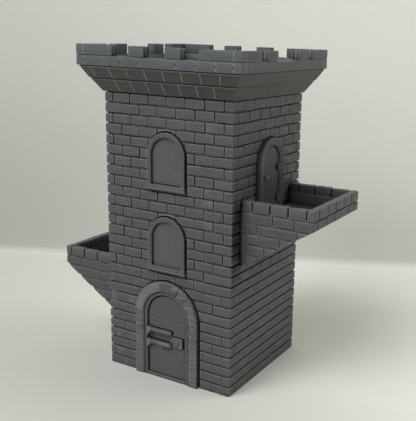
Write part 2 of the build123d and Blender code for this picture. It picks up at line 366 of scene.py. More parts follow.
def block_loops(low, high, rounding):
    part = 0.29 * rounding
    return [(rounding, low), (part, low + part), (0.0, low + rounding),
            (0.0, high - rounding), (part, high - part), (rounding, high)]


def prism(points, place, low, high):
    """Mesh of an (across, up) outline from out = low to out = high, used as a cutter."""
    shape = Shape()
    size = len(points)
    caps = [list(range(size))[::-1], list(range(size, 2 * size))]
    both = [(x, y, out) for out in (low, high) for x, y in points]
    shape.add_placed(place, both, caps + ring_faces(2, size))
    return shape.to_mesh("cutter")


def box(left, right, low, high):
    return [(left, low), (right, low), (right, high), (left, high)]


def circle(x, y, radius, count=28):
    return [(x + radius * math.cos(2 * math.pi * i / count),
             y + radius * math.sin(2 * math.pi * i / count)) for i in range(count)]


def cylinder(centre, radius, low, high):
    return prism(circle(*centre, radius), from_above, low, high)


def annulus(shape, centre, inner, outer, low, high):
    rings = [circle(*centre, outer), circle(*centre, inner)]
    points = [(x, y, z) for z in (low, high) for ring in rings for x, y in ring]
    count = len(rings[0])
    faces = []
    for i in range(count):
        j = (i + 1) % count
        faces.append([i, j, 2 * count + j, 2 * count + i])
        faces.append([count + j, count + i, 3 * count + i, 3 * count + j])
        faces.append([j, i, count + i, count + j])
        faces.append([2 * count + i, 2 * count + j, 3 * count + j, 3 * count + i])
    shape.add(points, faces)


def arch_outline(radius, foot, spring, shift=0.0, count=40):
    angles = [math.pi * i / count for i in range(count + 1)]
    arc = [(radius * math.cos(a), spring + radius * math.sin(a)) for a in angles]
    return [(x + shift, y) for x, y in [(-radius, foot), (radius, foot)] + arc]


def in_arch(x, y, radius, foot, spring):
    return ((foot <= y <= spring and abs(x) <= radius)
            or (y >= spring and math.hypot(x, y - spring) <= radius))


def sweep_arch(shape, place, profile, foot, spring, arc_steps, jamb_steps, wobble=0.0, rng=None):
    """Sweeps a closed (radius, out) profile up the left jamb, round the arch and down the right."""
    jamb = [foot + (spring - foot) * i / jamb_steps for i in range(jamb_steps)]
    stations = [("left", y) for y in jamb]
    stations += [("arc", math.pi - math.pi * i / arc_steps) for i in range(arc_steps + 1)]
    stations += [("right", y) for y in reversed(jamb)]
    points = []
    for part, position in stations:
        shift_radius = rng.uniform(-wobble, wobble) if rng else 0.0
        shift_out = rng.uniform(-wobble, wobble) if rng else 0.0
        for radius, out in profile:
            radius += shift_radius
            if part == "arc":
                x, y = radius * math.cos(position), spring + radius * math.sin(position)
            else:
                x, y = (-radius if part == "left" else radius), position
            points.append((x, y, out + shift_out))
    size = len(profile)
    faces = ring_faces(len(stations), size)
    faces.append(list(range(size))[::-1])
    faces.append([(len(stations) - 1) * size + i for i in range(size)])
    shape.add_placed(place, points, faces)


def arch_panel(place, radius, foot, spring, back, front, columns, rows, edge,
               left=-1.0, right=1.0):
    """Closed panel with a round head; front(across, up) gives its face, rounded off over edge.

    left and right clip it, as shares of the radius.
    """
    front_points, back_points = [], []
    crown = spring + radius
    for i in range(rows + 1):
        y = min(foot + (crown - foot) * (i / rows), crown - 0.002 * radius)
        half = radius if y <= spring else math.sqrt(radius * radius - (y - spring) ** 2)
        start, end = max(-half, left * radius), min(half, right * radius)
        for j in range(columns + 1):
            x = start + (end - start) * (j / columns)
            to_edge = min(x - start, end - x, y - foot)
            if y > spring:
                to_edge = min(to_edge, radius - math.hypot(x, y - spring))
            drop = max(edge - to_edge, 0.0) ** 2 / edge
            front_points.append((x, y, front(x, y) - drop))
            back_points.append((x, y, back))
    row = columns + 1
    rear = len(front_points)
    faces = []
    for i in range(rows):
        for j in range(columns):
            a = i * row + j
            faces.append([a, a + 1, a + row + 1, a + row])
            faces.append([rear + a, rear + a + row, rear + a + row + 1, rear + a + 1])
    for i in range(rows):
        a, b = i * row, (i + 1) * row
        faces.append([a, b, rear + b, rear + a])
        faces.append([a + columns, rear + a + columns, rear + b + columns, b + columns])
    for j in range(columns):
        faces.append([j, rear + j, rear + j + 1, j + 1])
        a = rows * row + j
        faces.append([a, a + 1, rear + a + 1, rear + a])
    shape = Shape()
    shape.add_placed(place, front_points + back_points, faces)
    return shape


def ring_wall(shape, levels, columns=1, jitter=0.0, rng=None):
    """Closed rectangular ring through levels (z, outer x, outer y, inner x, inner y), all half
    widths, its faces cut into columns. With a rng its outside is left uneven."""
    def loop(half_x, half_y):
        shares = [-1 + 2 * i / columns for i in range(columns)]
        return ([(t * half_x, -half_y) for t in shares] + [(half_x, t * half_y) for t in shares]
                + [(-t * half_x, half_y) for t in shares] + [(-half_x, -t * half_y) for t in shares])
    # the fourth draw is unused, but the draws after it depend on it
    phases = [rng.uniform(0, 6.28) for _ in range(4)] if rng else []
    points = []
    for k, (z, outer_x, outer_y, inner_x, inner_y) in enumerate(levels):
        for i, (x, y) in enumerate(loop(outer_x, outer_y)):
            dent = rise = 0.0
            if rng:
                wave = (math.sin(i * 0.9 + phases[0] + 0.7 * k)
                        + 0.7 * math.sin(i * 2.3 + phases[1] + 1.9 * k))
                dent = jitter * wave + rng.gauss(0, jitter * 0.5)
                rise = 0.6 * jitter * math.sin(i * 1.3 + phases[2] + k)
            points.append((x * (1 - dent / outer_x), y * (1 - dent / outer_y), z + rise))
        points += [(x, y, z) for x, y in loop(inner_x, inner_y)]
    size = 4 * columns
    faces = []
    for k in range(len(levels) - 1):
        a, b = 2 * size * k, 2 * size * (k + 1)
        for i in range(size):
            j = (i + 1) % size
            faces.append([a + i, a + j, b + j, b + i])
            faces.append([a + size + j, a + size + i, b + size + i, b + size + j])
    b = 2 * size * (len(levels) - 1)
    for i in range(size):
        j = (i + 1) % size
        faces.append([j, i, size + i, size + j])
        faces.append([b + i, b + j, b + size + j, b + size + i])
    shape.add(points, faces)


# ---------------------------------------------------------------------------
# materials: printed plastic in one grey, with layer lines and mottling, painted highlights on edges
# and painted shade in creases
# ---------------------------------------------------------------------------
class Shader:
    """Adds nodes to a tree; an input given as a socket is linked, any other is set."""

    def __init__(self, tree):
        self.tree = tree

    def add(self, kind, inputs=None, **settings):
        node = self.tree.nodes.new("ShaderNode" + kind)
        for key, value in settings.items():
            setattr(node, key, value)
        for key, value in (inputs or {}).items():
            if isinstance(value, bpy.types.NodeSocket):
                self.tree.links.new(value, node.inputs[key])
            else:
                node.inputs[key].default_value = value
        return node

    def math(self, operation, *values):
        return self.add("Math", dict(enumerate(values)), operation=operation).outputs[0]

    def noise(self, scale, detail, **vector):
        inputs = {"Scale": scale, "Detail": detail, **vector}
        return self.add("TexNoise", inputs).outputs["Fac"]

    def ramp(self, value, from_min, from_max, to_min=0.0, to_max=1.0, kind="SMOOTHSTEP"):
        inputs = {"Value": value, "From Min": from_min, "From Max": from_max,
                  "To Min": to_min, "To Max": to_max}
        return self.add("MapRange", inputs, interpolation_type=kind).outputs[0]

    def linear(self, *values):
        return self.ramp(*values, kind="LINEAR")

    def tint(self, rgb, factor):
        """The colour rgb times factor."""
        colour = self.add("RGB")
        colour.outputs[0].default_value = (*rgb, 1)
        inputs = {0: colour.outputs[0], "Scale": factor}
        return self.add("VectorMath", inputs, operation="SCALE").outputs[0]


MOTTLE = 0.10               # unevenness of the colour
GRAIN = 0.25                # share of the fine grain in the bump
ROUGHNESS = 0.5
# painted shade on the strip of the right face in front of the right tray, where the tray blocks the
# light: (axis, where it is 0, where 1)
PAINTED_SHADE_STRIP = [("X", 0.0470, 0.0484), ("Y", -0.0340, -0.0366), ("Z", 0.0765, 0.0800),
              ("Z", 0.1320, 0.1300), ("Y", -0.0462, -0.0440)]


def printed(name, rgb, line=LAYER, line_bump=0.35, edge=0.5, crease=0.2, edge_highlight=0.7,
            reach=0.0028, seed=0.0, painted_shade_strip=False):
    """line: layer spacing in mm; edge: painted highlight on convex and painted shade on concave
    edges, by curvature;
    crease: brightness left in creases by painted shade, searched over reach; edge_highlight: painted
    highlight on convex edges; seed: shifts the line strength."""
    material = bpy.data.materials.new(name)
    material.use_nodes = True
    tree = material.node_tree
    tree.nodes.clear()
    shader = Shader(tree)
    place = shader.add("TexCoord").outputs["Object"]
    soft = shader.noise(38.0, 4.0, Vector=place)
    fine = shader.noise(420.0, 3.0, Vector=place)

    # layer lines: bands of height, wavering a little and changing in strength
    axes = shader.add("SeparateXYZ", {0: place}).outputs
    waver = shader.math("MULTIPLY", shader.noise(90.0, 1.0, Vector=place), 0.00045)
    height = shader.math("ADD", axes["Z"], waver)
    phase = shader.math("MULTIPLY", height, 2 * math.pi / (line * MM))
    wave = shader.math("SINE", phase)
    mapping = shader.add("Mapping", {"Location": (seed, 1.7, 0.3), "Scale": (1.0, 1.0, 3.0),
                                     "Vector": place})
    patches = shader.noise(60.0, 2.0, Vector=mapping.outputs[0])
    lines = shader.math("MULTIPLY", wave, shader.linear(patches, 0.35, 0.7, 0.15, 1.0))

    # brightness
    bright = shader.math("MULTIPLY_ADD", soft, 2 * MOTTLE, 1.0 - MOTTLE)
    speckle = shader.math("MULTIPLY_ADD", fine, 0.8 * MOTTLE, -0.4 * MOTTLE)
    bright = shader.math("ADD", bright, speckle)
    bright = shader.math("ADD", bright, shader.math("MULTIPLY", lines, 0.045))
    # painted highlight on convex edges and painted shade on concave ones, from the curvature of the
    # mesh
    curvature = shader.linear(shader.add("NewGeometry").outputs["Pointiness"],
                              0.42, 0.60, 1.0 - 0.30 * edge, 1.0 + 0.45 * edge)
    bright = shader.math("MULTIPLY", bright, curvature)
    # painted shade in the creases, from ambient occlusion
    outside = shader.add("AmbientOcclusion", {"Distance": reach}, samples=6)
    crease_shade = shader.linear(outside.outputs["AO"], 0.25, 0.86, crease, 1.0)
    bright = shader.math("MULTIPLY", bright, crease_shade)
    # painted highlight on convex edges: rays sent inwards stop early beside a convex edge
    inside = shader.add("AmbientOcclusion", {"Distance": 0.0008}, samples=6, inside=True)
    edge_highlight_gain = shader.linear(inside.outputs["AO"], 0.45, 0.95, 1.0 + edge_highlight, 1.0)
    bright = shader.math("MULTIPLY", bright, edge_highlight_gain)
    # painted shade: the strip in front of the right tray is darkened to half
    if painted_shade_strip:
        masks = [shader.ramp(axes[axis], start, end) for axis, start, end in PAINTED_SHADE_STRIP]
        inner = shader.math("MULTIPLY", masks[2], shader.math("MULTIPLY", masks[3], masks[4]))
        mask = shader.math("MULTIPLY", shader.math("MULTIPLY", masks[0], masks[1]), inner)
        bright = shader.math("MULTIPLY", bright, shader.math("MULTIPLY_ADD", mask, -0.5, 1.0))

    relief = shader.math("ADD", shader.math("MULTIPLY", lines, line_bump),
                         shader.math("MULTIPLY", fine, GRAIN))
    bump = shader.add("Bump", {"Strength": 0.6, "Distance": 0.00022, "Height": relief})
    surface = shader.add("BsdfPrincipled", {
        "Base Color": shader.tint(rgb, bright),
        "Normal": bump.outputs[0],
        "Roughness": shader.math("MULTIPLY_ADD", fine, 0.16, ROUGHNESS - 0.08),
        "Specular IOR Level": 0.4})
    shader.add("OutputMaterial", {0: surface.outputs[0]})
    return material


# the bricks carry painted shade in their creases, painted highlights on their edges and painted
# shade on the strip in front of the right tray
BRICK = printed("printed_brick", (0.080, 0.0842, 0.0865), line_bump=0.95, edge=1.0, crease=0.0,
                edge_highlight=1.4, reach=0.0042, painted_shade_strip=True)
STONE = printed("printed_stone", (0.080, 0.083, 0.082), line_bump=0.8, edge=0.9, edge_highlight=1.0)
# paler than the stone, with less painted crease shade and more painted edge highlight: the balcony
# door's reveal is painted as lit
ARCH = printed("printed_arch", (0.084, 0.087, 0.086), line_bump=0.6, edge=0.9, crease=0.6,
               edge_highlight=1.3, seed=4.0)
# paler and bluer than the brick grey: painted light for the steep top light and sheen on the crown
CROWN = printed("printed_crown", (0.085, 0.091, 0.095), line_bump=0.7, edge=1.0, edge_highlight=0.3,
                seed=3.1)
# darker than the brick grey: painted shade on the corbel's downward-facing slopes
CORBEL = printed("printed_corbel", (0.063, 0.064, 0.0615), line_bump=0.6, seed=5.0)
# paler than the brick grey: painted highlight on raised seams and the balcony door's edge band,
# where their edges catch the light
SEAM_HIGHLIGHT = printed("printed_seam_highlight", (0.110, 0.113, 0.110), line_bump=0.6, crease=0.85, seed=6.0)
TRAY = printed("printed_tray", (0.0755, 0.0795, 0.0815), line_bump=0.7, edge=1.0, crease=0.0,
               edge_highlight=0.9, seed=7.0)
PANEL = printed("printed_panel", (0.081, 0.084, 0.083), line=1.2, edge=0.3, seed=9.0)
SHUTTER = printed("printed_shutter", (0.094, 0.098, 0.099), line=1.2, edge=0.3, edge_highlight=0.0,
                  seed=10.0)
IRON = printed("printed_ironwork", (0.092, 0.095, 0.094), line_bump=0.5, seed=11.0)
INNER = printed("printed_inner", (0.062, 0.064, 0.065), line=2.4, line_bump=0.6, edge=0.2,
                seed=13.0)


def paint_cad_nodes():
    for name, obj in cad_nodes.items():
        material = CROWN if name.startswith("crown") else IRON if "pintle" in name else INNER
        if obj.material_slots:
            for slot in obj.material_slots:
                slot.material = material
        else:
            obj.data.materials.append(material)


# ---------------------------------------------------------------------------
# the shaft
# ---------------------------------------------------------------------------
BRICK_X, BRICK_Y = 14.5, 13.5       # brick pitch on the front and back, and on the sides
CORNER_STATIONS = [-0.8, -0.4, 0.0, 0.4, 0.8]


def brick(shape, rng, place, span, corner, faint, level, stations=None):
    """faint runs from 0, a full upright joint, to 1, where bricks of a course nearly merge."""
    half_gap = (UPRIGHT_JOINT * (1 - faint) + 0.03 * faint) / 2
    left, right, low, high = span
    if faint < 0.5:
        wild = 1.0 - 0.75 * faint
        top = -abs(rng.gauss(0, 0.06)) * wild - 0.06
        dome = 0.05
        look = dict(corner=corner - 0.35 * faint, jitter=0.2, tilt=0.2 * wild, lump=0.05)
    else:
        top = -0.06 - abs(rng.gauss(0, 0.03))
        dome = 0.03
        look = dict(corner=0.6, jitter=0.03, tilt=0.03, lump=0.03)
    solid(shape, rng, place, (left + half_gap, right - half_gap, low, high),
          pillow_loops(top, -2.4, BRICK_ROUND, dome=dome, crown=0.8),
          stations=stations, level=level, squeeze=1.0 - 0.88 * faint, **look)


def faintness(face, course, x):
    """How far the upright joints have closed up: they fade out towards the foot of the tower."""
    if face in (FRONT, BACK):
        leftness = 0.5 - 0.5 * math.tanh(x / 14.0) if face == FRONT else 0.5
        start = 15.5 + 2.0 * (1 - leftness)
        return max(0.0, min(1.0, (course - start) / 4.0)) * (0.74 + 0.26 * leftness)
    return max(0.40, min(0.97, (course - 15.0) / 2.5))


def in_opening(face, x, y):
    if face == FRONT:
        return in_arch(x, y, 26.35, -2.0, DOOR_SPRING) or any(
            in_arch(x, y, 15.6, foot + 4, foot + WINDOW_SPRING)
            or (abs(x) < 16.3 and foot - 0.5 < y < foot + 4.8) for foot in WINDOW_FEET.values())
    if face == RIGHT and in_arch(x, y, 16.9, 117.2, BALCONY_SPRING):
        return True
    rim = {RIGHT: RIGHT_RIM, LEFT: LEFT_RIM}.get(face)
    return rim is not None and 30.9 < abs(x) < 36.1 and rim - 34.2 < y < rim - 19.9


def opening_hits(face, left, right, low, high):
    """Whether each point of a 7 by 5 grid over the span lies in an opening of the face."""
    return [in_opening(face, left + (right - left) * i / 6, low + (high - low) * j / 4)
            for i in range(7) for j in range(5)]


def brick_joints(pitch, centred):
    if centred:
        return [pitch * i for i in range(-3, 4)]
    return [pitch * (i + 0.5) for i in range(-3, 3)]


def opening_cutters():
    outlines = [(FRONT, arch_outline(26.75, -2.0, DOOR_SPRING, 0.45))]
    for foot in WINDOW_FEET.values():
        outlines.append((FRONT, arch_outline(16.1, foot + 2.0, foot + WINDOW_SPRING, 0.4)))
        outlines.append((FRONT, box(-16.1, 16.5, foot - 0.6, foot + 4.5)))
    outlines.append((RIGHT, arch_outline(17.3, 117.2, BALCONY_SPRING, -0.4)))
    for face, rim in ((RIGHT, RIGHT_RIM), (LEFT, LEFT_RIM)):
        for left, right in ((-36.1, -30.9), (30.9, 36.1)):
            outlines.append((face, box(left, right, rim - 34.1, rim - 19.9)))
    return [prism(points, flat(face, face_size(face)[0]), -6, 6) for face, points in outlines]


def inset_shell(x, y, z):
    """The CAD shell with its outer faces drawn in behind the bricks."""
    inner_x = np.where(np.abs(x) > HALF_X - 0.1, np.sign(x) * 48.6, x)
    inner_y = np.where(np.abs(y) > HALF_Y - 0.1, np.sign(y) * 45.25, y)
    inner_y = np.where(np.abs(y + 45.5) < 0.01, -45.1, inner_y)
    return np.stack([inner_x, inner_y, z], 1)


def build_shaft():
    rng = random.Random(7)
    whole, pierced = Shape(), Shape()   # bricks clear of the openings, and bricks to be cut

    def lay(hits, *details):
        if any(hits):
            brick(pierced, rng, *details, corner=0.9, faint=faint, level=level, stations=stations)
        else:
            brick(whole, rng, *details, corner=1.1, faint=faint, level=level, stations=stations)

    for course in range(COURSES):
        course_top = SHAFT_TOP - COURSE * course
        gap = BED_JOINT * (0.97 if course < 15 else 1.0)
        low, high = max(course_top - COURSE, 0.0) + gap / 2, course_top - gap / 2
        level = "high" if course == 0 else None
        if course == COURSES - 1:
            low, level = 0.0, "low"
        even = course % 2 == 0
        x_joints, y_joints = brick_joints(BRICK_X, even), brick_joints(BRICK_Y, not even)
        for face in range(4):
            own, following = (x_joints, y_joints) if face in (FRONT, BACK) else (y_joints, x_joints)
            distance, half_width = face_size(face)
            joints = [joint + rng.uniform(-0.2, 0.2) for joint in own]
            stations = None
            for left, right in pairwise(joints):
                hits = opening_hits(face, left, right, low, high)
                if all(hits):
                    continue
                faint = faintness(face, course, (left + right) / 2)
                lay(hits, flat(face, distance), (left, right, low, high))
            # the corner brick between this face and the next
            next_face = (face + 1) % 4
            next_half = face_size(next_face)[1]
            before, after = half_width - joints[-1], next_half + following[0]
            stations = [-before + 2.2, -before * 0.5 - 0.4] if before > 9 else []
            stations += CORNER_STATIONS
            stations += [after * 0.5 + 0.4, after - 2.2] if after > 9 else []
            hits = (opening_hits(face, joints[-1], half_width, low, high)
                    + opening_hits(next_face, -next_half, following[0], low, high))
            faint = min(0.45, 0.5 * (faintness(face, course, half_width)
                                     + faintness(next_face, course, -next_half)))
            lay(hits, wrapped(face), (-before, after, low, high))
    whole.add_mesh(subtract(pierced.to_mesh("pierced"), *opening_cutters()))
    add_core(whole, "tower_shell", inset_shell)
    piece("shaft_brickwork", whole, "tower", BRICK, "tower_shell")


# ---------------------------------------------------------------------------
# the front door
# ---------------------------------------------------------------------------
STONE_INNER, STONE_OUTER = 18.85, 25.5      # radii of the stone surround
SURROUND_PROFILE = [(18.5, -1.5), (24.9, -1.5), (25.3, -0.6), (25.3, 1.35), (24.9, 1.6),
                    (18.9, 1.6), (18.5, 1.3)]
JAMB_JOINTS = [0.0, 6.6, 13.6, 20.0, 26.0, 32.0, 37.9, 43.9, DOOR_SPRING + 3.2]
# joints of the arch stones in degrees clockwise from the crown
KEYSTONE, WIDE_JOINT = -10.6, 27.0
ARCH_JOINTS = [-84.5, -66.0, -47.5, -29.0, KEYSTONE, 9.2, WIDE_JOINT, 46.0, 64.5, 84.5]
DOOR_STRIP_PROFILE = [(15.7, -1.2), (18.3, -1.2), (18.25, 0.8), (18.0, 1.2), (17.5, 1.45),
                      (16.9, 1.5), (16.3, 1.42), (15.85, 1.1), (15.72, 0.6)]


def add_jamb_stones(shape, rng):
    """Jamb stones, each a stack of thin layers."""
    stones = list(pairwise(JAMB_JOINTS))
    for side in (-1, 1):
        for k, (foot, head) in enumerate(stones):
            layers = 5 if k else 4
            rough = 0.35 if k < 2 else 1.0
            for i in range(layers):
                low = foot + 0.22 + (head - foot - 0.44) * i / layers
                high = foot + 0.22 + (head - foot - 0.44) * (i + 1) / layers
                lowest = k == 0 and i == 0
                if lowest:
                    low = 0.0
                outer = STONE_OUTER
                if k == len(stones) - 1:
                    outer -= max(0, high - DOOR_SPRING) * 0.06
                left, right = sorted((side * STONE_INNER, side * outer))
                top = 2.45 - 0.10 * rng.random() - (0.16 if i in (0, layers - 1) else 0.0)
                solid(shape, rng, front_face, (left, right, low + 0.06, high - 0.06),
                      [(0, 0.5), (0, top - 0.42 * rough), (0.08, top - 0.2 * rough), (0.3, top),
                       (0.5, top)],
                      corner=0.35, jitter=0.07 * rough, tilt=0.16 * rough, lump=0.05,
                      level="low" if lowest else None)


def add_arch_stones(shape, rng):
    place = round_arch(front_face, DOOR_SPRING)
    for start, end in pairwise(ARCH_JOINTS):
        key = start == KEYSTONE
        tight = start < KEYSTONE            # the left haunch has nearly run together
        before = 0.02 if tight or key else 0.42 if start == WIDE_JOINT else 0.16
        after = 0.02 if tight else 0.42 if end == WIDE_JOINT else 0.16
        top = 2.47 if key else 2.34 + 0.06 * rng.random()
        span = (math.radians(start) * VOUSSOIR_RADIUS + before,
                math.radians(end) * VOUSSOIR_RADIUS - after,
                18.6 if key else STONE_INNER, STONE_OUTER)
        solid(shape, rng, place, span, pillow_loops(top, 0.5, 0.34, dome=0.0, crown=0.8),
              corner=0.45, pitch=1.1, tilt=0.03 if tight else 0.22,
              lump=0.05 if tight else 0.085, squeeze=0.25 if tight else 1.0)


def add_haunch_ridges(shape, rng):
    """Level print ridges lying over the haunches."""
    outer_radius, inner_radius = 24.9, 19.3
    for i in range(26):
        z = 49.2 + i * 0.78
        rise = z - DOOR_SPRING
        for side in (-1, 1):
            if rise >= outer_radius - 0.6:
                continue
            outer = math.sqrt(outer_radius ** 2 - rise ** 2)
            inner = math.sqrt(inner_radius ** 2 - rise ** 2) if rise < inner_radius else 4.6
            if outer - inner < 1.5 or rng.random() < (0.15 if side < 0 else 0.55):
                continue
            start, end = inner + rng.uniform(0, 0.8), outer - rng.uniform(0, 0.8)
            if rise > 14 and side < 0:
                start, end = inner + 0.2, min(outer - 0.3, inner + 12)
            left, right = (start, end) if side > 0 else (-end, -start)
            top = 2.44 + 0.04 * rng.random()
            solid(shape, rng, front_face, (left, right, z, z + 0.52),
                  [(0.0, 1.2), (0.0, top - 0.1), (0.06, top - 0.02), (0.16, top)],
                  corner=0.2, jitter=0.05, lump=0.03)


def build_door_surround(rng):
    stones = Shape()
    sweep_arch(stones, front_face, SURROUND_PROFILE, 0.0, DOOR_SPRING, 48, 8)
    add_jamb_stones(stones, rng)
    add_arch_stones(stones, rng)
    add_haunch_ridges(stones, rng)
    piece("door_surround_stones", stones, "tower", STONE, "door_stone_surround")

    moulding = Shape()
    sweep_arch(moulding, front_face, DOOR_STRIP_PROFILE, 0.0, DOOR_SPRING, 48, 30,
               wobble=0.05, rng=rng)
    piece("door_frame_moulding", moulding, "tower", STONE, "door_frame_strip")

    step = Shape()
    solid(step, rng, from_above, (-15.65, 15.65, -47.9, -41.5), block_loops(0.0, 2.25, 0.3),
          corner=0.3, jitter=0.0)
    piece("door_threshold_step", step, "tower", STONE, "door_threshold")


HINGE_FEET = {"lower": 23.8, "upper": 32.8}
DOOR_HINGE = (-14.05, -48.4)                # x and y of the hinge axis
# level grooves across the head of the leaf: (height, depth, half height)
LEAF_GROOVES = [(43.6, 0.34, 0.75), (46.9, 0.16, 0.6), (49.6, 0.20, 0.6), (52.3, 0.10, 0.6),
                (40.2, 0.08, 0.6), (38.2, 0.07, 0.5)]
# drips under the lower strap: (across, width, drop, height off the leaf)
STRAP_DRIPS = [(-2.6, 1.0, 2.7, 1.6), (-0.9, 0.8, 2.1, 1.4), (0.6, 0.9, 3.0, 1.5),
               (1.9, 0.7, 1.9, 1.3), (3.1, 0.8, 2.5, 1.4)]


def ripple(y, shift=0.0):
    """Print layers as a wave over height."""
    return math.sin(y * 2 * math.pi / LAYER + shift)


def bell(x):
    return math.exp(-x * x)


def door_leaf_face(x, y):
    out = 0.45
    for z, depth, half in LEAF_GROOVES:
        out -= depth * bell((y - z) / half) * (0.7 + 0.3 * math.sin(x * 0.9 + z))
        # a swelling above each groove
        swell = bell((y - z - 1.35) / (half * 0.9))
        out += 0.55 * depth * swell * (0.7 + 0.3 * math.sin(x * 0.7 + z * 2))
    if y > 36:
        out += 0.035 * ripple(y, 0.4 * math.sin(x * 0.35))
    return out


def build_door_leaf():
    leaf = arch_panel(front_face, 14.88, 2.72, DOOR_SPRING, -2.95, door_leaf_face,
                      columns=30, rows=220, edge=0.35).to_mesh("leaf")
    # recesses: (outline, depth); behind each strap, its rounded tip, and round the lock
    recesses = []
    for foot in HINGE_FEET.values():
        top = foot + 3.5
        recesses.append(([(-14.6, top - 0.6), (3.6, top - 0.6), (3.9, top + 0.62),
                          (-14.6, top + 0.7)], -2.2))
        recesses.append(([(4.5 + 1.45 * math.cos(i * math.pi / 8),
                           foot + 2.3 + 1.9 * math.sin(i * math.pi / 8)) for i in range(16)], -2.3))
    recesses += [(box(-14.7, 3.2, 26.9, 33.2), -0.35), (box(5.3, 14.5, 32.3, 33.3), -1.9),
                 (box(13.3, 14.6, 25.3, 33.3), -2.5)]
    for points, depth in recesses:
        leaf = subtract(leaf, prism(points, front_face, depth, 2.0))
    piece("front_door_planks", leaf, "front_door", PANEL, "front_door_leaf",
          angle=30)


def strap_place(across, up, out):
    """Full height at the hinge eye, about two thirds along the leaf."""
    share = np.clip((across + 12.6) / 2.2, 0, 1)
    return front_face(across, up, out * (1.0 - 0.36 * share * share * (3 - 2 * share)))


def build_hinge_strap(rng, name, foot):
    bar = Shape()
    solid(bar, rng, strap_place, (-15.2, 4.85, foot + 0.25, foot + 3.2),
          [(0.15, -0.35), (0.0, 0.6), (0.0, 2.5), (0.14, 3.0), (0.42, 3.32), (0.85, 3.44)],
          corner=1.25, stations=spread(-13.6, 4.2, 15), jitter=0.2, lump=0.13)
    strap = Shape()
    strap.add_mesh(subtract(bar.to_mesh("bar"),
                            prism(box(-17, DOOR_HINGE[0], foot - 2, foot + 6), front_face, -3, 6),
                            cylinder(DOOR_HINGE, 0.78, foot - 1, foot + 2.75)))
    annulus(strap, DOOR_HINGE, 0.78, 1.58, foot + 0.05, foot + 2.9)
    annulus(strap, DOOR_HINGE, 0.02, 1.5, foot + 2.78, foot + 3.45)
    if name == "lower":
        for x, width, drop, out in STRAP_DRIPS:
            solid(strap, rng, front_face,
                  (x - width / 2, x + width / 2, foot + 0.8 - drop, foot + 1.6),
                  [(0.1, -0.3), (0.0, 0.2), (0.05, out * 0.7), (0.2, out), (0.34, out + 0.1)],
                  corner=0.4, jitter=0.05)
        for x in (-5.4, -3.9, -1.8, 0.1, 1.6):
            solid(strap, rng, front_face, (x - 0.5, x + 0.5, foot + 0.3, foot + 3.1),
                  [(0.0, 1.4), (0.1, 2.15), (0.3, 2.38), (0.45, 2.42)], corner=0.5, jitter=0.08)
    piece(name + "_hinge_strap_iron", strap, "front_door", IRON,
          name + "_hinge_strap", angle=50)


def build_lock(rng):
    plate = Shape()
    solid(plate, rng, front_face, (5.35, 13.5, 25.0, 32.4),
          [(0.1, -0.4), (0.0, 0.9), (0.12, 1.4), (0.5, 1.62), (1.3, 1.6), (1.9, 1.45)],
          pitch=1.6, jitter=0.08, lump=0.05, tilt=0.1)
    for z in (26.6, 28.3, 30.0):
        solid(plate, rng, front_face, (10.9, 13.2, z - 0.4, z + 0.4),
              [(0.0, 1.0), (0.1, 1.5), (0.25, 1.66)], corner=0.3, jitter=0.05)
    piece("lock_plate_iron", plate, "front_door", IRON, "lock_plate", angle=50)
    boss = Shape()
    solid(boss, rng, front_face, (7.72, 10.48, 27.95, 30.65),
          [(0.0, 1.3), (0.0, 1.9), (0.12, 2.12), (0.4, 2.2), (0.7, 1.75), (0.95, 1.7)],
          corner=0.5, jitter=0.04)
    piece("keyhole_boss_iron", boss, "front_door", IRON, "keyhole_boss", angle=50)


def build_front_door():
    rng = random.Random(21)
    build_door_surround(rng)
    build_door_leaf()
    for name, foot in HINGE_FEET.items():
        build_hinge_strap(rng, name, foot)
    build_lock(rng)


# ---------------------------------------------------------------------------
# windows
# ---------------------------------------------------------------------------
WINDOW_PROFILE = [(11.62, -1.3), (14.5, -1.3), (14.8, -0.4), (14.8, 1.05), (14.66, 1.36),
                  (14.3, 1.5), (13.4, 1.42), (12.5, 1.5), (11.95, 1.44), (11.68, 1.2), (11.6, 0.7)]


def build_window(name, foot, seed):
    rng = random.Random(seed)
    sill_top, spring = foot + 4.3, foot + WINDOW_SPRING
    frame = Shape()
    sweep_arch(frame, front_face, WINDOW_PROFILE, sill_top, spring, 44, 14, wobble=0.035, rng=rng)
    piece(name + "_window_moulding", frame, "tower", STONE, name + "_window_frame")

    def lip_place(across, up, out):
        """The lower lip tapers back under its upper edge."""
        taper = 0.9 * np.clip((foot + 2.1 - up) / 2.1, 0, 1)
        return front_face(across, up, out - taper * (out > 0.5))

    sill = Shape()
    stations = spread(-13.5, 13.5, 9)
    solid(sill, rng, lip_place, (-15.65, 15.65, foot + 0.02, foot + 2.35),
          [(0.0, -1.5), (0.0, 1.6), (0.15, 2.2), (0.45, 2.42), (0.8, 2.44)],
          corner=0.5, stations=stations, jitter=0.06, lump=0.04, level="low")
    solid(sill, rng, front_face, (-15.1, 15.1, foot + 2.15, foot + 4.28),
          [(0.0, -1.5), (0.0, 1.7), (0.14, 2.05), (0.42, 2.2), (0.75, 2.22)],
          corner=0.5, stations=stations, jitter=0.05, lump=0.03, level="high")
    piece(name + "_window_sill_stone", sill, "tower", STONE, name + "_window_sill")

    def shutter_face(x, y):
        """Layered, more strongly near the foot, with a raised band up the middle."""
        share = (y - sill_top) / (spring + 11.6 - sill_top)
        out = -0.32 + 0.05 * (1.15 - share) * ripple(y, 0.5 * math.sin(x * 0.4))
        if share < 0.25:
            out += 0.05 * ripple(y)
        if abs(x) < 1.25:
            out += 0.22 * min(1.0, (1.25 - abs(x)) / 0.3)
        return out

    for side, left, right in (("left", -1.0, -0.003), ("right", 0.003, 1.0)):
        shutter = arch_panel(front_face, 11.55, sill_top + 0.02, spring, -1.28, shutter_face,
                             columns=22, rows=150, edge=0.12, left=left, right=right)
        piece(f"{name}_window_{side}_louvre", shutter, "tower", SHUTTER,
              f"{name}_window_{side}_shutter", angle=30)


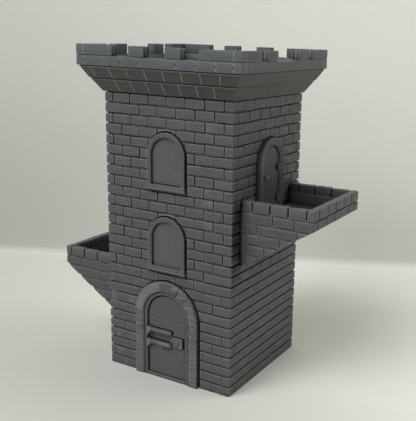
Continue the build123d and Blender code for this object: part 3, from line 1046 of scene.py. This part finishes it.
# ---------------------------------------------------------------------------
# balcony door
# ---------------------------------------------------------------------------
BALCONY_PROFILE = [(10.6, -1.7), (15.6, -1.7), (16.0, -0.6), (16.0, 2.3), (15.85, 2.75),
                   (15.4, 2.98), (14.7, 2.98), (14.3, 2.72), (13.6, 2.62), (13.1, 2.5),
                   (12.4, 2.45), (11.9, 2.44), (11.4, 2.2), (10.95, 1.75), (10.7, 1.45),
                   (10.6, 1.2)]
BALCONY_HINGE = (52.0, 9.2)                 # x and y of the hinge axis
BALCONY_HINGE_FEET = (125.0, 146.0)


def balcony_leaf_face(x, y):
    """Rippled, with three upright grooves."""
    out = 1.32 + 0.03 * ripple(y)
    for groove in (-4.9, 0.0, 4.9):
        out -= 0.16 * bell((x - groove) / 0.35)
    return out


def build_balcony_door():
    rng = random.Random(41)
    surround = Shape()
    sweep_arch(surround, right_face, BALCONY_PROFILE, 118.0, BALCONY_SPRING, 44, 24,
               wobble=0.05, rng=rng)
    # rebate on the hinge side
    solid(surround, rng, right_face, (10.3, 10.9, 118.05, BALCONY_SPRING + 0.5),
          [(0.0, -1.6), (0.0, 1.0), (0.1, 1.15), (0.2, 1.2)], corner=0.15, jitter=0.03, lump=0.03)
    piece("balcony_door_stones", surround, "tower", ARCH, "balcony_door_surround")

    cut_leaf = arch_panel(right_face, 10.2, 118.55, BALCONY_SPRING, -1.75, balcony_leaf_face,
                          columns=44, rows=90, edge=0.2).to_mesh("leaf")
    for foot in BALCONY_HINGE_FEET:
        for cutter in (cylinder(BALCONY_HINGE, 1.75, foot - 1.2, foot),
                       prism(box(BALCONY_HINGE[1], 12.2, foot - 1.2, foot), right_face, 0.2, 3.0),
                       cylinder(BALCONY_HINGE, 1.2, foot - 0.5, foot + 3.15)):
            cut_leaf = subtract(cut_leaf, cutter)
    leaf = Shape()
    leaf.add_mesh(cut_leaf)
    for foot in BALCONY_HINGE_FEET:
        annulus(leaf, BALCONY_HINGE, 0.66, 1.28, foot, foot + 2.7)
        annulus(leaf, BALCONY_HINGE, 0.02, 1.2, foot + 2.6, foot + 3.2)
    piece("balcony_door_planks", leaf, "balcony_door", PANEL,
          "balcony_door_leaf", angle=30)

    # a pale bead up the hinge-side edge: painted highlight on the reveal
    band = Shape()
    for low, high in ((118.9, 123.5), (128.6, 144.5), (149.7, 153.0)):
        solid(band, rng, right_face, (9.62, 10.16, low, high),
              [(0.0, 1.0), (0.0, 1.55), (0.08, 1.75), (0.2, 1.8)],
              corner=0.15, pitch=0.8, jitter=0.05, lump=0.04)
    piece("balcony_door_edge_highlight", band, "balcony_door", SEAM_HIGHLIGHT)

    handle = Shape()
    solid(handle, rng, right_face, (-9.0, -4.4, 140.95, 142.45),
          [(0.1, 2.0), (0.0, 2.25), (0.0, 2.6), (0.2, 2.88), (0.5, 2.98)],
          corner=0.6, pitch=0.9, jitter=0.05, lump=0.03)
    for left, right in ((-8.3, -7.0), (-6.3, -5.0)):
        solid(handle, rng, right_face, (left, right, 141.05, 142.35), block_loops(1.1, 2.4, 0.1),
              corner=0.3, jitter=0.0)
    piece("balcony_door_handle_iron", handle, "balcony_door", IRON,
          "balcony_door_handle", angle=50)


# ---------------------------------------------------------------------------
# trays
# ---------------------------------------------------------------------------
TRAY_REACH = 50.6                   # out from the shaft
TRAY_END = HALF_X + TRAY_REACH
TRAY_HALF = 36.0                    # half the width
TRAY_WALL = 5.0
TRAY_DEPTH = 44.0                   # at the shaft; 12.9 at the outer wall
TRAY_SLOPE = (TRAY_DEPTH - 12.9) / TRAY_REACH
# joints of the rim blocks, out from the shaft, on the front (-1) and back (1) walls
RIM_JOINTS = {-1: [0.25, 8.0, 20.4, 33.0, 45.7], 1: [0.25, 7.4, 19.9, 32.4, 45.7]}
RIM_END_JOINTS = [-36.0, -27.9, -15.0, -2.1, 10.8, 23.7, 36.0]
# courses below the rim: joints out from the shaft
TRAY_COURSES = {1: [9.2, 23.0, 37.4], 2: [11.2, 25.4, 40.0, TRAY_REACH],
                3: [4.0, 13.6, 27.8, TRAY_REACH], 4: [4.0, 17.2, 31.0, TRAY_REACH],
                5: [4.0, 12.0, 20.0, TRAY_REACH], 6: [4.0, 11.0, TRAY_REACH]}
OUTER_WALL_JOINTS = [-29.5, -16.7, -3.9, 8.9, 21.7, 29.5]


def tray(sign, rim, seed, node):
    """A tray, built on the right and mirrored when sign is negative."""
    rng = random.Random(seed)
    shape, sides = Shape(), Shape()

    def rim_block(place, *span):
        top = -0.02 - abs(rng.gauss(0, 0.12))
        solid(shape, rng, place, span, block_loops(-COURSE + 0.28, top, 0.62),
              corner=1.0, jitter=0.13, tilt=0.25, lump=0.07)

    def wall_brick(place, *span, **look):
        top = -abs(rng.gauss(0, 0.05)) - 0.05
        solid(sides, rng, place, span, pillow_loops(top, -1.6, BRICK_ROUND), **look)

    def course_span(course):
        high = rim - COURSE * course
        return high - COURSE + BED_JOINT / 2, high - BED_JOINT / 2

    # rim blocks, the full thickness of the wall
    def on_rim(across, up, out):
        return from_above(across, up, rim + out)

    def on_end_rim(across, up, out):
        return from_above_turned(across, TRAY_END + up, rim + out)

    for side in (-1, 1):
        for start, end in pairwise(RIM_JOINTS[side]):
            rim_block(on_rim, HALF_X + start + 0.26, HALF_X + end - 0.26,
                      *strip(TRAY_HALF, 0.0, TRAY_WALL, side))
    for start, end in pairwise(RIM_END_JOINTS):
        rim_block(on_end_rim, start + (0.26 if start > -TRAY_HALF else 0.0),
                  end - (0.26 if end < TRAY_HALF else 0.0), -TRAY_WALL + 0.1, 0.0)

    # courses below the rim; the left tray's joints are nearly closed
    if sign < 0:
        inset, look = 0.02, dict(corner=0.75, jitter=0.12, tilt=0.04, lump=0.025, squeeze=0.3)
    else:
        inset, look = 0.22, dict(corner=1.2, jitter=0.2, tilt=0.14, lump=0.035)
    for side in (-1, 1):
        def on_side(across, up, out, side=side):
            return np.stack([HALF_X + across, side * (TRAY_HALF + out), up], 1)

        for course, joints in TRAY_COURSES.items():
            low, high = course_span(course)
            for start, end in pairwise([0.15] + joints):
                if rim - TRAY_DEPTH + TRAY_SLOPE * start <= high:
                    wall_brick(on_side, start + inset, end - inset, low, high, **look)

    # the course that wraps round the two outer corners, and the outer wall between them
    low, high = course_span(1)
    stations = [-9.0, -5.0, *CORNER_STATIONS, 3.0]
    look = dict(corner=0.75, jitter=0.1, lump=0.02)
    wall_brick(wrapped(FRONT, TRAY_END, TRAY_HALF), -13.0, 6.3, low, high,
               stations=stations, **look)
    wall_brick(wrapped(RIGHT, TRAY_END, TRAY_HALF), -6.3, 13.0, low, high,
               stations=[-x for x in reversed(stations)], **look)
    for start, end in pairwise(OUTER_WALL_JOINTS):
        wall_brick(flat(RIGHT, TRAY_END), start + 0.2, end - 0.2, low, high,
                   corner=0.75, jitter=0.12, tilt=0.1, lump=0.025)
    walls = sides.to_mesh("walls")
    trim(walls, (HALF_X, 0, rim - TRAY_DEPTH + 0.02), Vector((TRAY_SLOPE, 0, -1)).normalized())
    shape.add_mesh(walls)

    def inset_core(x, y, z):
        """The CAD tray, a little inside the brick faces."""
        x = x * sign
        at_end = x > TRAY_END - 0.1
        z = np.where(at_end & (z < rim - 5), z - 0.95 * TRAY_SLOPE, z)
        at_side = (np.abs(y) > TRAY_HALF - 0.1) & (x > HALF_X - 0.01)
        return np.stack([np.where(at_end, TRAY_END - 0.95, x),
                         np.where(at_side, np.sign(y) * 35.1, y),
                         np.where(z > rim - 0.05, rim - 6.3, z)], 1)

    add_core(shape, node, inset_core)
    if sign < 0:
        shape.mirror_x()
    piece(node + "_brickwork", shape, node, TRAY, node)


# ---------------------------------------------------------------------------
# crown: two corbel tiers, band and merlons
# ---------------------------------------------------------------------------
# (bottom, top, overhang at the bottom, overhang at the top, front joints)
CORBEL_TIERS = [
    (SHAFT_TOP, 203.0, 1.0, 6.6, [-36.3, -24.0, -11.6, 0.8, 13.2, 25.8, 38.4]),
    (203.0, 211.0, 7.0, 11.6, [-51.0, -37.0, -23.0, -9.2, 4.6, 18.3, 32.0, 45.8])]
CORBEL_LAYERS = 5
PARAPET_X, PARAPET_Y = HALF_X + 12.3, HALF_Y + 12.3
PARAPET_WALL = 6.0
BAND_TOP = 217.5
MERLON_FOOT = 217.3
BAND_JOINTS = [-PARAPET_X, -55.3, -41.3, -26.3, -12.2, 1.7, 15.8, 30.2, 44.2, 56.3, PARAPET_X]
BAND_SIDE_END = PARAPET_Y - 5.6
LEFT_BAND_JOINTS = [-BAND_SIDE_END, -46.5, -31.6, -16.8, -2.0, 12.8, 27.6, 42.4, BAND_SIDE_END]
SIDE_MERLON_END = PARAPET_Y - PARAPET_WALL + 0.4
X_MERLONS = [(-PARAPET_X, -32.9), (-19.7, -8.0), (8.0, 19.7), (32.9, PARAPET_X)]
Y_MERLONS = [(-SIDE_MERLON_END, -35.8), (-26.8, -14.8), (14.8, 26.8), (35.8, SIDE_MERLON_END)]


def add_corbel_tier(corbel, seams, rng, bottom, top, overhang_low, overhang_high, joints):
    def grow(z):
        share = (z - bottom) / (top - bottom)
        return overhang_low + (overhang_high - overhang_low) * share

    levels = []

    def level(z, inset):
        """inset sets in the front and back faces; the two sides move by a quarter of it."""
        out = grow(z) - 0.16
        levels.append((z, HALF_X + out - 0.25 * inset, HALF_Y + out - inset, 44.9, 41.4))

    level(bottom + 0.05, 0.55)
    level(bottom + 0.35, 0.25)
    layers_low, layers_high = bottom + 0.35, top - 1.15
    for i in range(CORBEL_LAYERS):
        low = layers_low + (layers_high - layers_low) * i / CORBEL_LAYERS
        high = layers_low + (layers_high - layers_low) * (i + 1) / CORBEL_LAYERS
        level(low + 0.1, 0.42)
        level(low + 0.32, 0.26 + 0.05 * rng.random())
        level(high - 0.1, 0.24 + 0.05 * rng.random())
    level(layers_high + 0.08, 0.30)
    level(layers_high + 0.22, 0.0)
    for drop, inset in ((0.42, -0.02), (0.34, 0.2), (0.30, 1.1), (0.02, 1.1)):
        level(top - drop, inset)
    ring_wall(corbel, levels, columns=26, jitter=0.035, rng=rng)

    middle = (overhang_low + overhang_high) / 2
    for face in range(4):
        half_width = face_size(face)[1]
        on_slope = sloped(face, grow)
        smooth = face == RIGHT              # the right face has fainter seams
        if smooth and bottom > 200:
            continue
        face_joints = joints if face in (FRONT, BACK) else [x * half_width / HALF_X for x in joints]
        if smooth:
            face_joints = [-40 + 9.6 * i for i in range(9)]

        def fan(across, up, out, on_slope=on_slope):
            """Spreads the seams as the tier widens."""
            return on_slope(across * (1 + 0.45 * (grow(up) - middle) / 50.0), up, out)

        half_seam = 0.25 if smooth else 0.45
        for joint in face_joints:
            rise = -0.12 if smooth else -0.02
            if face == FRONT and joint < -34:
                rise -= 0.1
            # on every face but the right one the seams are pale: painted highlight where their edges
            # catch the light
            solid(corbel if smooth else seams, rng, fan,
                  (joint - half_seam, joint + half_seam, bottom + 0.5, top - 0.5),
                  [(0.0, -1.6), (0.0, rise - 0.3), (0.1, rise - 0.08), (0.28, rise)],
                  corner=0.2, jitter=0.08, lump=0.04)
        if not smooth:
            # the pale lip along the top of the tier: painted highlight where its top edge catches
            # the light
            half_lip = half_width + overhang_high - 0.6
            solid(seams, rng, on_slope, (-half_lip + 3, half_lip - 0.3, top - 1.0, top - 0.42),
                  [(0.0, -1.6), (0.0, -0.3), (0.08, -0.05), (0.2, 0.0)],
                  corner=0.2, jitter=0.05, lump=0.06, pitch=3.0)


def add_band(parapet, seams, rng):
    """The band of blocks under the merlons."""
    outer_x, outer_y = PARAPET_X - 1.1, PARAPET_Y - 1.1
    inner_x, inner_y = PARAPET_X - PARAPET_WALL + 0.3, PARAPET_Y - PARAPET_WALL + 0.3
    ring_wall(parapet, [(z, outer_x, outer_y, inner_x, inner_y) for z in (211.05, MERLON_FOOT)])
    for side in (-1, 1):
        for left, right in pairwise(BAND_JOINTS):
            solid(parapet, rng, from_above,
                  (left + (0.0 if left == -PARAPET_X else 0.12),
                   right - (0.0 if right == PARAPET_X else 0.12),
                   *strip(PARAPET_Y, 0.0, PARAPET_WALL, side)),
                  block_loops(211.15, BAND_TOP - 0.08 * rng.random(), 0.38),
                  corner=0.34, jitter=0.05, tilt=0.05, lump=0.035)
        # the joints have closed up but for a pit half way up
        for joint in BAND_JOINTS[1:-1]:
            raised = joint > 10 or joint < -54
            half_seam, out, shift = (0.5, 0.1, 0.35) if raised else (0.34, -0.06, 0.0)
            span = (joint - half_seam + shift, joint + half_seam + shift,
                    *strip(PARAPET_Y, -0.05 - out, 2.0, side))
            for part in ("below", "above"):
                if part == "below":
                    low, high = 211.5, 213.2 + 0.3 * rng.random()
                else:
                    low, high = 215.0 + 0.3 * rng.random(), BAND_TOP - 0.25
                # raised joints are pale: painted highlight beside the joint
                solid(seams if raised else parapet, rng, from_above, span,
                      block_loops(low, high, 0.2), corner=0.2, jitter=0.05, lump=0.03)
        side_joints = LEFT_BAND_JOINTS if side < 0 else [-BAND_SIDE_END, BAND_SIDE_END]
        for start, end in pairwise(side_joints):
            solid(parapet, rng, from_above_turned,
                  (start, end, *strip(PARAPET_X, 0.0, PARAPET_WALL, side)),
                  block_loops(211.15, BAND_TOP - 0.05 * rng.random(), 0.34),
                  corner=0.1, jitter=0.03, tilt=0.02, lump=0.045, pitch=4.5)


def add_merlon(parapet, seams, rng, start, end, along_x, side):
    """Two face slabs and a core, and a solid block where it ends at a corner of the crown."""
    half, place = (PARAPET_Y, from_above) if along_x else (PARAPET_X, from_above_turned)
    foot = MERLON_FOOT + (0.55 if along_x else 0.25)
    if along_x:
        top = 224.0 + (0.25 - 0.0045 * ((start + end) / 2))
    else:
        top = 224.0 + (0.5 if side < 0 else -0.02)

    def slab(left, right, near, far, high, low=foot, rounding=0.4, shape=parapet, **look):
        solid(shape, rng, place, (left, right, *strip(half, near, far, side)),
              block_loops(low, high, rounding), corner=0.4, jitter=0.06, **look)

    start_cap, end_cap = start == -PARAPET_X, end == PARAPET_X
    wall = PARAPET_WALL
    left = start + wall - 0.35 if start_cap else start
    right = end - wall + 0.35 if end_cap else end
    slab(left, right, 0.0, 1.25, top - 0.1 * rng.random(), tilt=0.08, lump=0.05)
    slab(left, right, 1.95, 4.05, top - 0.15, tilt=0.05, lump=0.04)
    slab(left, right, 4.75, wall, top - 0.1 * rng.random(), tilt=0.08, lump=0.05)
    slab(left + (-0.4 if start_cap else 0.5), right - (-0.4 if end_cap else 0.5),
         1.3, 4.7, top - 0.18, low=217.0, rounding=0.1)
    if start_cap:
        slab(start, start + wall - 0.25, 0.0, wall, top, tilt=0.05, lump=0.04)
    if end_cap:
        slab(end - wall + 0.25, end, 0.0, wall, top, tilt=0.05, lump=0.04)
    # a pale seam, painted highlight, where the long brick meets the corner block
    for cap, x in ((start_cap, start + wall - 0.3), (end_cap, end - wall + 0.3)):
        if cap:
            slab(x - 0.45, x + 0.45, -0.12, 1.6, top + 0.1, low=foot + 0.1, rounding=0.2,
                 shape=seams, lump=0.03)
    # a plinth joining the merlon to the band
    slab(left + (0.9 - wall if start_cap else 0.6), right - (0.9 - wall if end_cap else 0.6),
         0.55, 5.45, foot + 0.9, low=216.9, rounding=0.1)


def build_crown():
    rng = random.Random(61)
    corbel, parapet, seams = Shape(), Shape(), Shape()
    for tier in CORBEL_TIERS:
        add_corbel_tier(corbel, seams, rng, *tier)
    piece("crown_corbel_stones", corbel, "crown", CORBEL, "crown_corbel")
    add_band(parapet, seams, rng)
    for side in (-1, 1):
        for along_x, merlons in ((True, X_MERLONS), (False, Y_MERLONS)):
            for start, end in merlons:
                add_merlon(parapet, seams, rng, start, end, along_x, side)
    piece("crown_parapet_blocks", parapet, "crown", CROWN, "crown_parapet")
    # the pale seams: painted highlights
    piece("crown_raised_seam_highlights", seams, "crown", SEAM_HIGHLIGHT)


# ---------------------------------------------------------------------------
# stage, light and camera
# ---------------------------------------------------------------------------
def paper_material():
    material = bpy.data.materials.new("studio_paper")
    material.use_nodes = True
    tree = material.node_tree
    shader = Shader(tree)
    surface = tree.nodes["Principled BSDF"]
    mottle = shader.linear(shader.noise(3.0, 5.0), 0.0, 1.0, 0.98, 1.02)
    # painted light: the sheet grows paler towards +X and +Y
    geometry = shader.add("NewGeometry").outputs
    position = geometry["Position"]
    along = shader.add("VectorMath", {0: position, 1: (0.45, 0.88, 0.0)}, operation="DOT_PRODUCT")
    painted_light_grade = shader.ramp(along.outputs["Value"], -0.12, 0.20, 1.0, 1.42)
    # painted shade just above the floor, then painted light growing with height
    z = shader.add("SeparateXYZ", {0: position}).outputs["Z"]
    height = shader.math("ADD", shader.ramp(z, 0.0, 0.010, 1.0, 0.87),
                         shader.ramp(z, 0.010, 0.300, 0.0, 0.34))
    factor = shader.math("MULTIPLY", shader.math("MULTIPLY", mottle, painted_light_grade), height)
    colour = shader.tint((0.607, 0.600, 0.556), factor)
    tree.links.new(colour, surface.inputs["Base Color"])
    surface.inputs["Roughness"].default_value = 0.9
    surface.inputs["Specular IOR Level"].default_value = 0.2
    # clear from behind, so the tower can be looked at from every side
    clear = shader.add("BsdfTransparent")
    mix = shader.add("MixShader", {0: geometry["Backfacing"], 1: surface.outputs[0],
                                   2: clear.outputs[0]})
    tree.links.new(mix.outputs[0], tree.nodes["Material Output"].inputs["Surface"])
    return material


def build_stage():
    """Floor and backdrop in one sheet with a small cove between them."""
    origin = Vector((-120.1, 187.0, 0.0))       # on the foot of the backdrop
    along = Vector((0.8948, 0.4464, 0.0))
    behind = Vector((-along.y, along.x, 0.0))
    cove = 8.0
    # rows are (distance behind the backdrop's foot, height)
    rows = [(float(s), 0.0) for s in (-1500, -1000, -600, -300, -150, -60, -20, -cove)]
    for i in range(1, 9):
        angle = i / 8 * math.pi / 2
        rows.append((-cove + cove * math.sin(angle), cove - cove * math.cos(angle)))
    rows += [(0.0, float(height)) for height in (20, 60, 150, 300, 600, 1100, 1600)]
    columns = [-1600, -1000, -500, -200, 0, 200, 400, 600, 760]
    points = []
    for distance, height in rows:
        for column in columns:
            point = origin + along * column + behind * distance
            points.append((point.x, point.y, height - 0.02))
    size = len(columns)
    faces = [[i * size + j, i * size + j + 1, (i + 1) * size + j + 1, (i + 1) * size + j]
             for i in range(len(rows) - 1) for j in range(size - 1)]
    shape = Shape()
    shape.add(points, faces)
    mesh = shape.to_mesh("studio_sheet")
    for polygon in mesh.polygons:
        polygon.use_smooth = True
    sheet = link("studio_sheet", mesh)
    mesh.materials.append(paper_material())


def area_light(name, azimuth, elevation, distance, size, power, rgb):
    """Aimed at the middle of the tower; azimuth runs from the front (0) to the right (90)."""
    turn, tip = math.radians(azimuth), math.radians(elevation)
    target = Vector((0, 0, 0.11))
    location = (distance * math.cos(tip) * math.sin(turn),
                -distance * math.cos(tip) * math.cos(turn),
                target.z + distance * math.sin(tip))
    light = bpy.data.lights.new(name, "AREA")
    light.shape = "SQUARE"
    light.size = size
    light.energy = power
    light.color = rgb
    obj = bpy.data.objects.new(name, light)
    obj.location = location
    obj.rotation_euler = (target - Vector(location)).to_track_quat("-Z", "Y").to_euler()
    bpy.context.scene.collection.objects.link(obj)


def build_lights():
    area_light("key", azimuth=-34, elevation=42, distance=4.0, size=2.5, power=52.0,
               rgb=(0.98, 0.99, 1.0))
    area_light("front", azimuth=-12, elevation=50, distance=4.0, size=2.5, power=100.0,
               rgb=(0.98, 0.99, 1.0))
    area_light("fill", azimuth=122, elevation=36, distance=3.2, size=1.8, power=35.0,
               rgb=(1.0, 0.995, 0.98))
    world = bpy.data.worlds.new("studio")
    bpy.context.scene.world = world
    world.use_nodes = True
    background = world.node_tree.nodes["Background"]
    background.inputs["Color"].default_value = (0.95, 0.97, 1.0, 1)
    background.inputs["Strength"].default_value = 0.065


def build_camera():
    lens = bpy.data.cameras.new("camera")
    camera = link("camera", lens)
    # axis times angle of the turn from the world to a view with y down and z forward
    turn = Vector((1.76459, 0.47923, -0.33457))
    to_view = Matrix.Rotation(turn.length, 3, turn.normalized())
    pose = (to_view.transposed() @ Matrix.Diagonal((1, -1, -1))).to_4x4()
    pose.translation = (0.2670, -0.4048, 0.2340)
    camera.matrix_world = pose
    lens.sensor_width = 36.0
    lens.lens = 59.91
    lens.shift_x, lens.shift_y = -0.1266, -0.0048
    lens.clip_start, lens.clip_end = 0.01, 20.0
    bpy.context.scene.camera = camera
    bpy.context.scene.view_settings.view_transform = "Standard"


paint_cad_nodes()
build_shaft()
build_front_door()
build_window("lower", WINDOW_FEET["lower"], seed=31)
build_window("upper", WINDOW_FEET["upper"], seed=37)
build_balcony_door()
tray(1, RIGHT_RIM, 51, "right_tray")
tray(-1, LEFT_RIM, 53, "left_tray")
build_crown()
build_stage()
build_lights()
build_camera()
